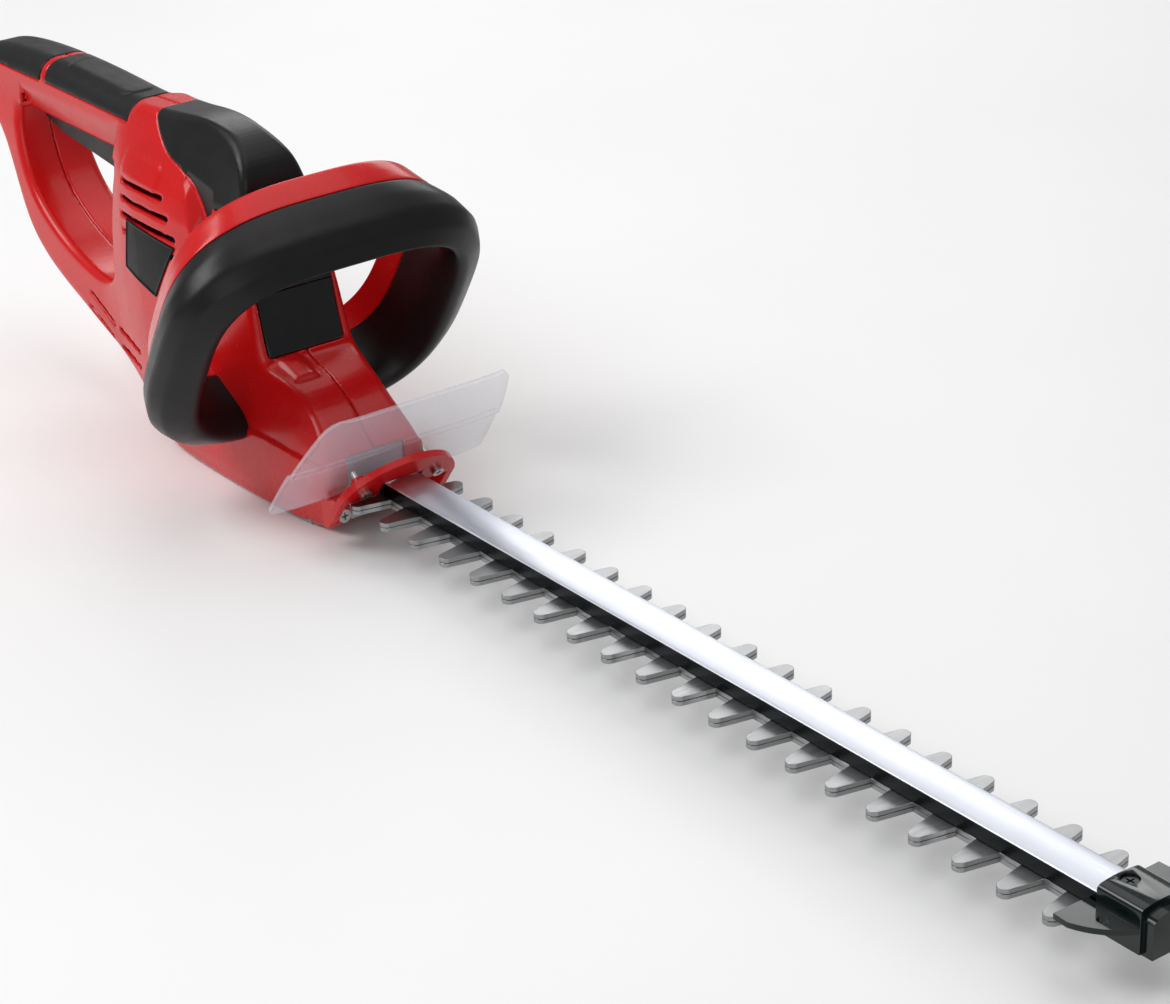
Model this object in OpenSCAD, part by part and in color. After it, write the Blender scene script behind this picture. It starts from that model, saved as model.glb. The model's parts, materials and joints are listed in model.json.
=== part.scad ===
// Electric hedge trimmer: a double-action cutting blade driven by a vertical motor,
// with a rear loop handle, a leaning front loop handle and a clear hand guard.
// Millimetres. X runs towards the blade tip, Y is across, Z is up.
// The origin is the centre of the flat base, which stands on Z = 0.

/* [Blade] */
// number of teeth along the near side
near_teeth = 20; // [8:1:24]
// distance from one tooth to the next
pitch = 26; // [20:1:30]
// x of the first near tooth
first_tooth_x = 105; // [100:1:110]
// half width across the tooth tips
tip_half = 29.3; // [24:0.1:34]
// half width of the blade spine
spine_half = 10.5; // [9:0.1:12]
// width of a tooth where it leaves the spine
root_width = 14; // [10:0.5:16]
// width of the rounded tooth tip
tip_width = 7.5; // [5:0.5:9]
// thickness of each blade
blade_thick = 2.2; // [1.5:0.1:3]
// height of the plane where the two blades meet
blade_z = 27; // [25:0.5:30]
// how far each blade moves to either side of the middle
half_stroke = 6.5; // [4:0.5:8]

/* [Hand guard] */
// lean of the guard from upright, in degrees
guard_lean = 36.4; // [20:0.1:45]
// half width of the guard at its foot
guard_foot_half = 65.4; // [50:0.1:75]
// half width of the guard at its top
guard_top_half = 53.9; // [40:0.1:65]
// length of the guard up its slope
guard_length = 77; // [50:1:90]
// thickness of the clear sheet
guard_thick = 2.4; // [1.5:0.1:4]

/* [Front handle] */
// lean of the front handle from upright, in degrees
ring_lean = 31; // [0:1:40]
// half width of the front handle, outside
ring_half = 96; // [80:1:105]
// half width of the hand opening
ring_hole_half = 68; // [55:1:75]
// depth of the black grip along the handle's axis
grip_depth = 36; // [25:1:42]
// depth of the red frame behind the grip
frame_depth = 16; // [10:1:22]
// travel of the safety bar
bar_travel = 3.5; // [2:0.5:5]

/* [Rear handle] */
// half width of the rear handle
handle_half = 18; // [15:0.5:21]
// half width of the lower strut of the rear loop
strut_half = 24; // [20:0.5:27]
// angle that the trigger swings, in degrees
trigger_swing = 3; // [2:0.5:4]

/* [Body] */
// half width of the motor housing
body_half = 35; // [32:0.5:38]
// wall thickness of the housing
wall = 3; // [2.5:0.1:4]

/* [Drive] */
// gear module
gear_module = 1.25; // [1:0.05:1.5]
// teeth on the motor pinion
pinion_teeth = 10; // [9:1:12]
// teeth on the driven gear
gear_teeth = 38; // [36:1:40]
// radius of each eccentric disc
cam_r = 8.5; // [7:0.1:10]

/* [Hidden] */
$fn = 48;
gap = 0.3;
centre = gear_module * (pinion_teeth + gear_teeth) / 2;
motor_x = -centre;
bar_end_x = first_tooth_x + (near_teeth - 1) * pitch + 11;
bolt_x = [for (i = [0:4]) first_tooth_x + 27 + i * 108];
ring_x = 48.3;
ring_z = 96;
guard_x = 86;
guard_z = 27.3;

// where the housing halves are screwed together, as x and z
seam_screws = [[-272, 171], [-236, 94], [-166, 66], [-101, 176], [-88, 38], [-2, 153], [50, 54.5]];
// where the base plate is screwed on, as x and y
base_screws = [[-42, -17], [-42, 17], [46, -13], [46, 13]];
// where the front handle is screwed to the housing, as x and z
handle_at = [-25, 59.5];

// ---- outlines ----

// points of a quadratic curve from a to c that leans towards b
function bow(a, b, c, n) = [for (i = [0:n - 1]) let (t = i / n)
  (1 - t) * (1 - t) * a + 2 * t * (1 - t) * b + t * t * c];
function unit(v) = v / norm(v);
function normal_of(a, b) = let (u = unit(b - a)) [u[1], -u[0]];
// an outline moved inwards by t, for an outline listed clockwise
function shrink(p, t) = let (n = len(p)) [for (i = [0:n - 1])
  let (a = p[(i + n - 1) % n], b = p[i], c = p[(i + 1) % n])
  let (m = normal_of(a, b), k = normal_of(b, c), s = m + k)
  b + s * (2 * t / (s * s))];

// side outline of the whole housing, clockwise from the rear: x and z
side = concat(
  bow([-302, 156], [-304, 176], [-262, 184], 6),
  bow([-262, 184], [-190, 187.5], [-133, 184.5], 4),
  bow([-133, 184.5], [-100, 185], [-60, 190.5], 3),
  bow([-60, 190.5], [-8, 195], [4, 165], 7),
  bow([4, 165], [12, 128], [24, 80], 2),
  bow([24, 80], [56, 72], [84, 44], 4),
  [[84, 44], [84, 13]],
  bow([83, 8], [78, 0], [64, 0], 3),
  bow([-62, 0], [-84, 0], [-108, 28], 4),
  bow([-108, 28], [-130, 36], [-177, 51], 3),
  bow([-177, 51], [-232, 70], [-247, 100], 6),
  bow([-247, 100], [-256, 132], [-284, 146], 5));

// hand opening of the rear loop: x and z
loop_hole = concat(
  [[-236, 151], [-122, 152]],
  bow([-119, 149], [-122, 140], [-126, 128], 3),
  bow([-126, 128], [-130, 112], [-130, 92], 3),
  bow([-130, 92], [-132, 76], [-150, 76], 4),
  bow([-150, 76], [-206, 84], [-226, 102], 5),
  bow([-226, 102], [-240, 118], [-243, 140], 5),
  [[-243, 140]]);

// half width of the housing as seen from the front: y and z, near side listed upwards
front = concat(
  [[-28, -2], [-33, 12], [-body_half, 40]],
  bow([-body_half, 128], [-33, 168], [-22, 180], 5),
  bow([-22, 180], [-16, 193], [0, 196], 4),
  [[0, 196]]);
front_full = concat(front, [for (i = [len(front) - 2:-1:0]) [-front[i][0], front[i][1]]]);

// outline of the housing from above: x and y, far side first
plan = concat(
  [[-132, 28], [-113, 34], [-106, body_half]],
  bow([20, body_half], [60, 34], [84, 28], 4),
  [[84, 28]]);
plan_full = concat(plan, [for (i = [len(plan) - 1:-1:0]) [plan[i][0], -plan[i][1]]]);

// section of the rear handle: y and z
module bar_section(t) {
  h = handle_half - t;
  polygon(concat(
    bow([-h, 153], [-h, 144 + t], [-h + 9, 144 + t], 4),
    bow([h - 9, 144 + t], [h, 144 + t], [h, 153], 4),
    bow([h, 174], [h, 187 - t], [0, 188 - t], 6),
    bow([0, 188 - t], [-h, 187 - t], [-h, 174], 6)));
}

// turns an x and z outline into a slab across the machine
module across(half) {
  rotate([90, 0, 0]) linear_extrude(2 * half, center = true) children();
}

// turns a y and z outline into a bar along x
module along(x0, x1) {
  translate([x0, 0, 0]) rotate([90, 0, 90]) linear_extrude(x1 - x0) children();
}

// the housing's outer skin moved inwards by t
module skin(t) {
  hole = shrink(loop_hole, -t);
  outer = shrink(side, t);
  // rear handle
  intersection() {
    across(60) difference() {
      polygon(outer);
      polygon(hole);
    }
    along(-310, -96) bar_section(t);
  }
  // lower strut
  intersection() {
    across(strut_half - t) difference() {
      polygon(outer);
      polygon(hole);
    }
    translate([-320, -60, 10]) cube([208, 120, 140.6]);
  }
  // motor and gear body
  intersection() {
    across(60) difference() {
      polygon(outer);
      polygon(hole);
    }
    along(-132 + t, 100) polygon(shrink(front_full, t));
    translate([0, 0, -10]) linear_extrude(220) polygon(shrink(plan_full, t));
  }
}

// the parts of the skin that other pieces take up
module cover_zone(t) {
  // hump cover over the top and down the front
  intersection() {
    across(22 + t) polygon([[-88 - t, 210], [-88 - t, 168 - t], [-64, 158 - t], [-30, 150 - t],
      [-10 - t, 120], [2 - t, 84 - t], [60, 77 - t], [60, 210]]);
    difference() {
      translate([-100, -30, 70]) cube([150, 60, 130]);
      across(40) polygon(shrink(side, 2.6 + t));
    }
  }
}
module grip_zone(x0, x1, t) {
  translate([x0 - t, -30, 176.2 - t]) cube([x1 - x0 + 2 * t, 60, 20]);
}
module gear_room(t) {
  translate([0, 0, -1]) cylinder(r = 29.2 + t, h = 46 + t, $fn = 96);
  translate([-38.5 - t, -25.2 - t, -1]) cube([80 + t, 50.4 + 2 * t, 33.4 + t]);
  translate([motor_x, 0, -1]) cylinder(r = 16 + t, h = 54 + t);
  translate([30, -17.2 - t, 10]) cube([70, 34.4 + 2 * t, 34 + t]);
}

module seam_boss(at) {
  translate([at[0], 0, at[1]]) rotate([90, 0, 0]) cylinder(r = 4.6, h = 90, center = true);
}

// both housing halves before they are parted
module shell() {
  difference() {
    union() {
      difference() {
        skin(0);
        skin(wall);
      }
      intersection() {
        skin(0.4);
        for (s = seam_screws) seam_boss(s);
      }
      // shelves that carry the motor
      intersection() {
        skin(0.4);
        translate([motor_x, 0, 55.5]) cube([80, 90, 2.4], center = true);
      }
      intersection() {
        skin(0.4);
        translate([motor_x, 0, 154]) cube([30, 90, 7], center = true);
      }
    }
    cover_zone(gap);
    grip_zone(-310, -213, gap);
    grip_zone(-207, -114, gap);
    gear_room(gap);
    // room for the motor and its fan
    translate([motor_x, 0, 51]) cylinder(r = 27.4, h = 78.1, $fn = 96);
    translate([motor_x, 0, 120]) cylinder(r = 12.5, h = 40);
    translate([motor_x, 0, 120]) cylinder(r = 24, h = 29);
    // trigger slot under the rear handle
    translate([-236, -7.4, 146]) cube([110, 14.8, 27]);
    // seat of the trigger pin
    translate([-228, 0, 168.5]) rotate([90, 0, 0]) cylinder(r = 2.06, h = 33, center = true);
    // cable inlet
    translate([-310, 0, 158]) rotate([0, 90, 0]) cylinder(r = 7.4, h = 29.6);
    // open base
    translate([-62.2, -25.9, -5]) cube([120.3, 51.8, 12.2]);
    // side vents at the rear corner
    for (i = [0:3], s = [-1, 1])
      translate([-100, s * 30, 151 - 9.5 * i]) rotate([0, 8, 0])
        cube([34 + 3 * i, 26, 3.2], center = true);
    // lower side vents
    for (i = [0:1], s = [-1, 1])
      translate([-112, s * 28, 50 - 8 * i]) rotate([0, 14, 0]) cube([30, 26, 3.4], center = true);
    for (i = [0:1], s = [-1, 1])
      translate([-152, s * 24, 61 - 8 * i]) rotate([0, 14, 0]) cube([24, 16, 2.4], center = true);
    // label recess
    for (s = [-1, 1])
      translate([-76, s * 36, 106]) cube([54, 4, 32], center = true);
    // front slots for the guard bracket
    translate([84, 0, 27]) cube([12, 37, 60], center = true);
    // screw holes
    for (s = seam_screws) translate([s[0], 0, s[1]]) rotate([-90, 0, 0]) {
      cylinder(r = 1.7, h = 52, center = true);
      translate([0, 0, 7]) cylinder(r = 3.9, h = 60);
    }
    // handle screw holes
    for (s = [-1, 1]) translate([handle_at[0], s * 36, handle_at[1]]) rotate([90, 0, 0])
      cylinder(r = 2.2, h = 16, center = true);
  }
}

// ---- red and black mouldings ----

// one half of the shell: side is -1 for the near half and 1 for the far half
module half(side) {
  difference() {
    shell();
    translate([-400, side > 0 ? -199.95 : -0.05, -50]) cube([600, 200, 300]);
  }
}

// each half is drawn in three stretches: motor body, rear handle and rear strut
module body_stretch(side) {
  color([0.78, 0.09, 0.09]) intersection() {
    half(side);
    translate([-135, -60, -10]) cube([240, 120, 220]);
  }
}
module handle_stretch(side) {
  color([0.78, 0.09, 0.09]) intersection() {
    half(side);
    translate([-320, -60, 145.05]) cube([184.9, 120, 60]);
  }
}
module strut_stretch(side) {
  color([0.78, 0.09, 0.09]) intersection() {
    half(side);
    translate([-320, -60, -10]) cube([184.9, 120, 154.95]);
  }
}
module housing_left() {
  body_stretch(-1);
}
module housing_right() {
  body_stretch(1);
}
module rear_handle_left() {
  handle_stretch(-1);
}
module rear_handle_right() {
  handle_stretch(1);
}
module rear_strut_left() {
  strut_stretch(-1);
}
module rear_strut_right() {
  strut_stretch(1);
}

module grip_top(x0, x1) {
  intersection() {
    across(60) polygon(side);
    along(x0, x1) bar_section(0);
    translate([x0, -30, 176.2]) cube([x1 - x0, 60, 20]);
  }
}

module rear_grip_cap() {
  color([0.13, 0.13, 0.14]) grip_top(-310, -213);
}

module rear_grip_pad() {
  color([0.13, 0.13, 0.14]) grip_top(-207, -114);
}

module top_cover() {
  color([0.15, 0.16, 0.17])
  intersection() {
    cover_zone(0);
    skin(0);
    translate([-120, -60, 112.15]) cube([200, 120, 100]);
  }
}

module front_panel() {
  color([0.08, 0.09, 0.1])
  intersection() {
    cover_zone(0);
    skin(0);
    translate([-120, -60, 60]) cube([200, 120, 51.85]);
  }
}

module label_plate() {
  color([0.06, 0.06, 0.07])
  for (s = [-1, 1])
    translate([-76, s * 34.6, 106]) cube([53.4, 0.8, 31.4], center = true);
}

// rounded rectangle from v0 to v1 up the handle's slope
module rounded(half, v0, v1, r) {
  translate([(v0 + v1) / 2, 0]) union() {
    square([v1 - v0, 2 * half - 2 * r], center = true);
    square([v1 - v0 - 2 * r, 2 * half], center = true);
    for (a = [-1, 1], b = [-1, 1])
      translate([a * ((v1 - v0) / 2 - r), b * (half - r)]) circle(r = r, $fn = 96);
  }
}

// a layer of the front handle between two depths behind its front face
module ring_layer(n0, n1, half, v0, v1, r) {
  rotate([0, -90, 0]) translate([0, 0, -n1]) linear_extrude(n1 - n0) rounded(half, v0, v1, r);
}

module in_ring() {
  translate([ring_x, 0, ring_z]) rotate([0, ring_lean, 0]) children();
}

// cuts the ring where it meets the housing
module ring_seat() {
  translate([-60, -body_half - 0.35, -20]) cube([200, 2 * body_half + 0.7, 110]);
}

module front_grip() {
  color([0.12, 0.12, 0.13])
  difference() {
    in_ring() difference() {
      intersection() {
        ring_layer(-grip_depth, 0, ring_half, -80, 73, 50);
        // soft front edges at the top and the foot
        rotate([90, 0, 0]) linear_extrude(300, center = true)
          polygon([[-60, -90], [-60, 80], [-26, 76], [-9, 72.5], [-2, 66], [0, 60],
            [0, -64], [-9, -80], [-30, -82]]);
        // soft front edges at the sides
        translate([0, 0, -100]) linear_extrude(200)
          polygon([[-60, -100], [-26, -98], [-9, -93], [-2, -86], [0, -78],
            [0, 78], [-2, 86], [-9, 93], [-26, 98], [-60, 100]]);
      }
      ring_layer(-grip_depth - 1, 1, ring_hole_half, -58, 56, 34);
      // seat of the safety bar
      translate([-27.3, -50.3, 50]) cube([19.6, 100.6, 16.6]);
    }
    ring_seat();
  }
}

module handle_ring() {
  color([0.78, 0.09, 0.09])
  difference() {
    in_ring() difference() {
      union() {
        ring_layer(-grip_depth - frame_depth, -grip_depth - gap, ring_half - 3, -77, 71, 48);
      }
      ring_layer(-80, 10, ring_hole_half + 2, -60, 58, 36);
    }
    ring_seat();
    // holes for the handle screws
    for (s = [-1, 1]) translate([handle_at[0], s * 42, handle_at[1]]) rotate([90, 0, 0])
      cylinder(r = 2.2, h = 30, center = true);
  }
}

module front_switch_bar() {
  color([0.1, 0.1, 0.11])
  in_ring() difference() {
    translate([-27, -50, 51.5]) cube([19, 100, 7.5]);
    for (s = [-1, 1]) translate([-17.5, s * 30, 56]) cylinder(r = 3.6, h = 6);
  }
}

module switch_springs() {
  color([0.7, 0.71, 0.73])
  in_ring() for (s = [-1, 1], i = [0:3]) translate([-17.5, s * 30, 60.6 + 1.6 * i])
    rotate_extrude() translate([2.5, 0]) circle(r = 0.6);
}

module rear_trigger() {
  color([0.08, 0.08, 0.09])
  difference() {
    across(7) polygon([[-235, 173], [-235, 152], [-231, 147.5], [-212, 142.5], [-136, 134.5],
      [-131, 135.6], [-128.5, 140], [-128.5, 166], [-131, 167.5], [-217, 173]]);
    translate([-228, 0, 168.5]) rotate([90, 0, 0]) cylinder(r = 2.06, h = 20, center = true);
  }
}

module trigger_pin() {
  color([0.7, 0.71, 0.73])
  translate([-228, 0, 168.5]) rotate([90, 0, 0]) cylinder(r = 2, h = 32.6, center = true);
}

module trigger_spring() {
  color([0.7, 0.71, 0.73])
  for (i = [0:4]) translate([-150, 0, 169.6 + 1.45 * i])
    rotate_extrude() translate([3, 0]) circle(r = 0.45);
}

// ---- guard ----

module in_guard(x, z) {
  translate([x, 0, z]) rotate([0, guard_lean, 0]) children();
}

// a y and height outline made into a sheet that faces along the guard's normal
module sheet(thick) {
  rotate([90, 0, 90]) linear_extrude(thick) children();
}

module hand_guard() {
  color([0.75, 0.78, 0.84, 0.4])
  in_guard(guard_x, guard_z) difference() {
    union() {
      sheet(guard_thick) difference() {
        polygon(concat(
          bow([-guard_foot_half, 6], [-guard_foot_half, 0], [-guard_foot_half + 6, 0], 4),
          bow([guard_foot_half - 6, 0], [guard_foot_half, 0], [guard_foot_half, 6], 4),
          bow([guard_top_half + 1, guard_length - 7], [guard_top_half, guard_length],
            [guard_top_half - 7, guard_length], 4),
          bow([7 - guard_top_half, guard_length], [-guard_top_half, guard_length],
            [-guard_top_half - 1, guard_length - 7], 4)));
        translate([-35.6, -1]) square([71.2, 9]);
        translate([-12, -1]) square([24, 17]);
        for (s = [-1, 1]) translate([s * 22, 18]) circle(r = 2.2);
      }
      // stiffening rib across the sheet
      translate([1, 0, 34]) cube([3.4, 104, 1.6], center = true);
    }
  }
}

module guard_bracket() {
  color([0.78, 0.09, 0.09])
  union() {
    in_guard(90, 19) {
      sheet(4) difference() {
        polygon(concat(
          [[-35, 0], [-35, 18]],
          bow([-35, 18], [-30, 39], [0, 41], 8),
          bow([0, 41], [30, 39], [35, 18], 8),
          [[35, 18], [35, 0]]));
        translate([-31, -1]) square([62, 17]);
        translate([-12, 10]) square([24, 16.5]);
        for (s = [-1, 1]) translate([s * 22, 22.6]) circle(r = 1.7);
      }
      // bosses that carry the clear sheet
      for (s = [-1, 1]) translate([-4.4, s * 22, 22.6]) rotate([0, 90, 0]) difference() {
        cylinder(r = 4, h = 5);
        translate([0, 0, -1]) cylinder(r = 1.7, h = 8);
      }
    }
    // cheeks back to the housing, with feet
    for (s = [-1, 1]) {
      translate([0, s * 33, 0]) across(1.7)
        polygon([[84.6, 12.6], [84.6, 26], [88, 28], [98, 31.5], [97, 27], [93.5, 20], [90, 12.6]]);
      difference() {
        translate([86.4, s * 26.5, 17]) cube([4.1, 13, 8], center = true);
        translate([80, s * 25, 17]) rotate([0, 90, 0]) cylinder(r = 2.2, h = 12);
      }
    }
  }
}

// a screw along z: the head's seat is at the origin and the shank goes down
module screw(shank_r, shank_l, head_r, head_h) {
  difference() {
    union() {
      cylinder(r = head_r, h = head_h);
      translate([0, 0, -shank_l]) cylinder(r = shank_r, h = shank_l + 0.5);
    }
    translate([0, 0, head_h * 0.45]) {
      cube([head_r * 1.1, 0.9, head_h * 1.4], center = true);
      cube([0.9, head_r * 1.1, head_h * 1.4], center = true);
    }
  }
}

module guard_screws() {
  color([0.66, 0.67, 0.69])
  in_guard(90, 19) for (s = [-1, 1]) translate([4.1, s * 22, 22.6]) rotate([0, 90, 0])
    screw(1.5, 13, 3.2, 2);
}

module bracket_screws() {
  color([0.66, 0.67, 0.69])
  for (s = [-1, 1]) translate([88.5, s * 25, 17]) rotate([0, 90, 0]) screw(2, 4, 3.6, 2.2);
}

module housing_screws() {
  color([0.5, 0.51, 0.53])
  for (s = seam_screws) translate([s[0], 7.1, s[1]]) rotate([-90, 0, 0]) screw(1.55, 22, 3.5, 2.4);
}

module handle_screws() {
  color([0.5, 0.51, 0.53])
  for (s = [-1, 1]) translate([handle_at[0], s * 36, handle_at[1]]) rotate([90, 0, 0])
    cylinder(r = 2, h = 12, center = true);
}

// ---- gear case ----

module gear_case() {
  color([0.6, 0.61, 0.62])
  difference() {
    intersection() {
      gear_room(0);
      translate([-60, -40, 3.8]) cube([143, 80, 60]);
    }
    // gear and pinion
    translate([0, 0, 30.3]) cylinder(r = 26.6, h = 11, $fn = 96);
    translate([motor_x, 0, 28]) cylinder(r = 9.4, h = 14.3);
    translate([motor_x, 0, 40]) cylinder(r = 5, h = 8);
    translate([motor_x, 0, 45.8]) cylinder(r = 8.1, h = 12);
    // shaft bush seat
    translate([0, 0, 40]) cylinder(r = 7.1, h = 4.2);
    // blade yokes, with bosses for the base screws left standing below them
    difference() {
      translate([-35.4, -21.6, 2]) cube([73, 43.2, 29]);
      for (s = base_screws) translate([s[0], s[1], 0]) cylinder(r = 4.8, h = s[0] > 0 ? 11.9 : 14.1);
    }
    // blade and bar channels through the nose
    translate([30, -11, 24.2]) cube([60, 22, 5.2]);
    translate([42, -8.7, 29]) cube([50, 17.4, 4.4]);
    // base screws
    for (s = base_screws) translate([s[0], s[1], 0]) cylinder(r = 1.7, h = s[0] > 0 ? 16 : 12.6);
    // bar bolts
    for (x = [54, 74]) translate([x, 0, 8]) cylinder(r = 2.7, h = 30);
    for (x = [54, 74]) translate([x, 0, 6]) cylinder(r = 5, h = 10);
  }
}

module base_plate() {
  color([0.62, 0.63, 0.65])
  difference() {
    union() {
      translate([-61.6, -25.1, 0]) cube([119.2, 50.2, 3.4]);
      cylinder(r = 9, h = 12);
    }
    translate([0, 0, 5]) cylinder(r = 7.1, h = 12);
    for (s = base_screws) translate([s[0], s[1], -1]) {
      cylinder(r = 2, h = 10);
      cylinder(r = 3.8, h = 2.9);
    }
  }
}

module plate_screws() {
  color([0.5, 0.51, 0.53])
  for (s = base_screws) translate([s[0], s[1], 1.8]) rotate([180, 0, 0]) screw(1.6, 9, 3.5, 1.6);
}

module shaft_bushes() {
  color([0.72, 0.55, 0.28])
  for (z = [5.1, 39.95]) translate([0, 0, z]) difference() {
    cylinder(r = 7, h = z < 20 ? 6.8 : 4.1);
    translate([0, 0, -1]) cylinder(r = 4.55, h = 12);
  }
}

// ---- motor ----

module ring(r0, r1, z0, z1) {
  translate([0, 0, z0]) difference() {
    cylinder(r = r1, h = z1 - z0, $fn = 96);
    translate([0, 0, -1]) cylinder(r = r0, h = z1 - z0 + 2, $fn = 96);
  }
}

module motor_can() {
  color([0.45, 0.46, 0.48])
  translate([motor_x, 0, 0]) difference() {
    union() {
      ring(23.6, 26, 62, 120);
      ring(11, 24, 62, 64);
    }
    for (a = [45:90:315]) rotate([0, 0, a]) translate([17.5, 0, 60]) cylinder(r = 2.5, h = 6);
  }
}

module motor_magnets() {
  color([0.2, 0.2, 0.22])
  translate([motor_x, 0, 0]) difference() {
    ring(18, 23.4, 67, 113);
    translate([0, 0, 90]) cube([9, 60, 60], center = true);
  }
}

module motor_end_plate() {
  color([0.16, 0.16, 0.17])
  translate([motor_x, 0, 0]) ring(11, 26, 120.3, 122);
}

module motor_end_frame() {
  color([0.16, 0.16, 0.17])
  translate([motor_x, 0, 0]) difference() {
    union() {
      ring(9.3, 12.2, 122.3, 152);
      ring(5, 10, 144, 146);
    }
    translate([0, 0, 146]) cylinder(r = 9.35, h = 14, $fn = 96);
    translate([0, 0, 129]) cube([40, 5.2, 7.2], center = true);
  }
}

module upper_bearing() {
  color([0.72, 0.73, 0.75])
  translate([motor_x, 0, 0]) ring(3.05, 9.2, 146.2, 151);
}

module lower_bearing() {
  color([0.72, 0.73, 0.75])
  translate([motor_x, 0, 0]) ring(3.05, 8, 46.1, 51);
}

module brushes() {
  color([0.1, 0.1, 0.1])
  for (s = [-1, 1]) translate([motor_x + s * 11.2, 0, 129]) cube([6, 4.4, 6.4], center = true);
}

module brush_clips() {
  color([0.78, 0.62, 0.3])
  for (s = [-1, 1]) translate([motor_x + s * 18.6, 0, 129]) difference() {
    cube([8, 7.6, 9.6], center = true);
    cube([20, 5, 7], center = true);
  }
}

module armature_core() {
  color([0.42, 0.43, 0.46])
  translate([motor_x, 0, 0]) difference() {
    ring(3, 17.4, 70, 110);
    for (i = [0:11]) rotate([0, 0, 30 * i]) translate([14.4, 0, 90])
      cylinder(r = 1.9, h = 60, center = true);
  }
}

module armature_windings() {
  color([0.72, 0.4, 0.2])
  translate([motor_x, 0, 0]) for (z = [[65, 69.7], [110.3, 116]]) ring(3.1, 15, z[0], z[1]);
}

module commutator() {
  color([0.76, 0.5, 0.28])
  translate([motor_x, 0, 0]) difference() {
    ring(3.1, 8, 123, 135);
    for (i = [0:11]) rotate([0, 0, 30 * i]) translate([8, 0, 129]) cube([1.4, 0.6, 20], center = true);
  }
}

module motor_shaft() {
  color([0.7, 0.71, 0.73])
  translate([motor_x, 0, 30.6]) cylinder(r = 3, h = 122);
}

module fan() {
  color([0.18, 0.18, 0.2])
  translate([motor_x, 0, 0]) union() {
    ring(3.1, 22, 54.2, 55.8);
    ring(3.1, 6.5, 54.5, 60.8);
    for (i = [0:8]) rotate([0, 0, 40 * i]) translate([6, -0.7, 55]) cube([15.4, 1.4, 5.8]);
  }
}

// ---- gears ----

// one flank point of an involute tooth at radius r, as an angle from the tooth's middle
function tooth_angle(rb, rp, r, half) = let (a = acos(rb / max(r, rb)), p = acos(rb / rp))
  half + (tan(p) * 180 / PI - p) - (tan(a) * 180 / PI - a);
module wheel(teeth, bore, z0, z1, slack) {
  rp = gear_module * teeth / 2;
  rb = rp * cos(20);
  tip = rp + gear_module * 0.92;
  root = rp - gear_module * 1.25;
  half = 90 / teeth - slack / rp * 180 / PI;
  radii = [root, max(rb, root) + 0.01, (max(rb, root) + tip) / 2, tip];
  translate([0, 0, z0]) linear_extrude(z1 - z0) difference() {
    polygon([for (i = [0:teeth - 1]) each concat(
      [for (r = radii) let (a = i * 360 / teeth - tooth_angle(rb, rp, r, half)) r * [cos(a), sin(a)]],
      [for (j = [3:-1:0]) let (r = radii[j], a = i * 360 / teeth + tooth_angle(rb, rp, r, half))
        r * [cos(a), sin(a)]])]);
    circle(r = bore);
  }
}

module pinion() {
  color([0.6, 0.61, 0.63])
  translate([motor_x, 0, 0]) rotate([0, 0, 180 / pinion_teeth]) wheel(pinion_teeth, 3.1, 31, 40.5, 0.14);
}

module drive_gear() {
  color([0.58, 0.59, 0.61])
  difference() {
    rotate([0, 0, 180]) wheel(gear_teeth, 4.6, 31.6, 39.4, 0.14);
    for (i = [0:5]) rotate([0, 0, 60 * i]) translate([14, 0, 30]) cylinder(r = 4, h = 12);
  }
}

module eccentric_shaft() {
  color([0.68, 0.69, 0.71])
  union() {
    translate([0, 0, 5.4]) cylinder(r = 4.5, h = 38.4);
    translate([0, 0, 12.6]) cylinder(r = 5.6, h = 11.6);
    translate([0, -half_stroke, 24.2]) cylinder(r = cam_r, h = 2.75);
    translate([0, half_stroke, 26.95]) cylinder(r = cam_r, h = 2.75);
    translate([0, 0, 24.2]) cylinder(r = 5.6, h = 7.1);
  }
}

// ---- blades ----

// outline of one tooth that points along +Y, standing on the spine's edge
module tooth(x) {
  translate([x, 0]) union() {
    polygon([[-root_width / 2, spine_half - 2], [-root_width / 2, spine_half],
      [-tip_width / 2 - 0.25, tip_half - 4.6], [-tip_width / 2, tip_half - tip_width / 2],
      [tip_width / 2, tip_half - tip_width / 2], [tip_width / 2 + 0.25, tip_half - 4.6],
      [root_width / 2, spine_half], [root_width / 2, spine_half - 2]]);
    translate([0, tip_half - tip_width / 2]) circle(r = tip_width / 2);
  }
}

module blade_outline() {
  difference() {
    union() {
      // yoke around the eccentrics
      translate([-27, -19.6]) square([54, 39.2]);
      translate([20, -spine_half]) square([bar_end_x - 20, 2 * spine_half]);
      for (i = [0:near_teeth - 1]) mirror([0, 1]) tooth(first_tooth_x + i * pitch);
      for (i = [1:near_teeth - 1]) tooth(first_tooth_x + (i - 0.5) * pitch);
    }
    translate([-22.2, -15.6]) square([44.4, 31.2]);
    for (x = bolt_x) {
      translate([x - half_stroke - 0.4, -4.6]) square([2 * half_stroke + 0.8, 9.2]);
      for (s = [-1, 1]) translate([x + s * (half_stroke + 0.4), 0]) circle(r = 4.6);
    }
    for (x = [54, 74]) {
      translate([x - half_stroke - 0.4, -3.4]) square([2 * half_stroke + 0.8, 6.8]);
      for (s = [-1, 1]) translate([x + s * (half_stroke + 0.4), 0]) circle(r = 3.4);
    }
  }
}

module lower_blade() {
  color([0.62, 0.64, 0.66])
  translate([0, 0, blade_z - 0.15 - blade_thick]) linear_extrude(blade_thick) blade_outline();
}

module upper_blade() {
  color([0.66, 0.68, 0.7])
  translate([0, 0, blade_z + 0.15]) linear_extrude(blade_thick) blade_outline();
}

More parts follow.
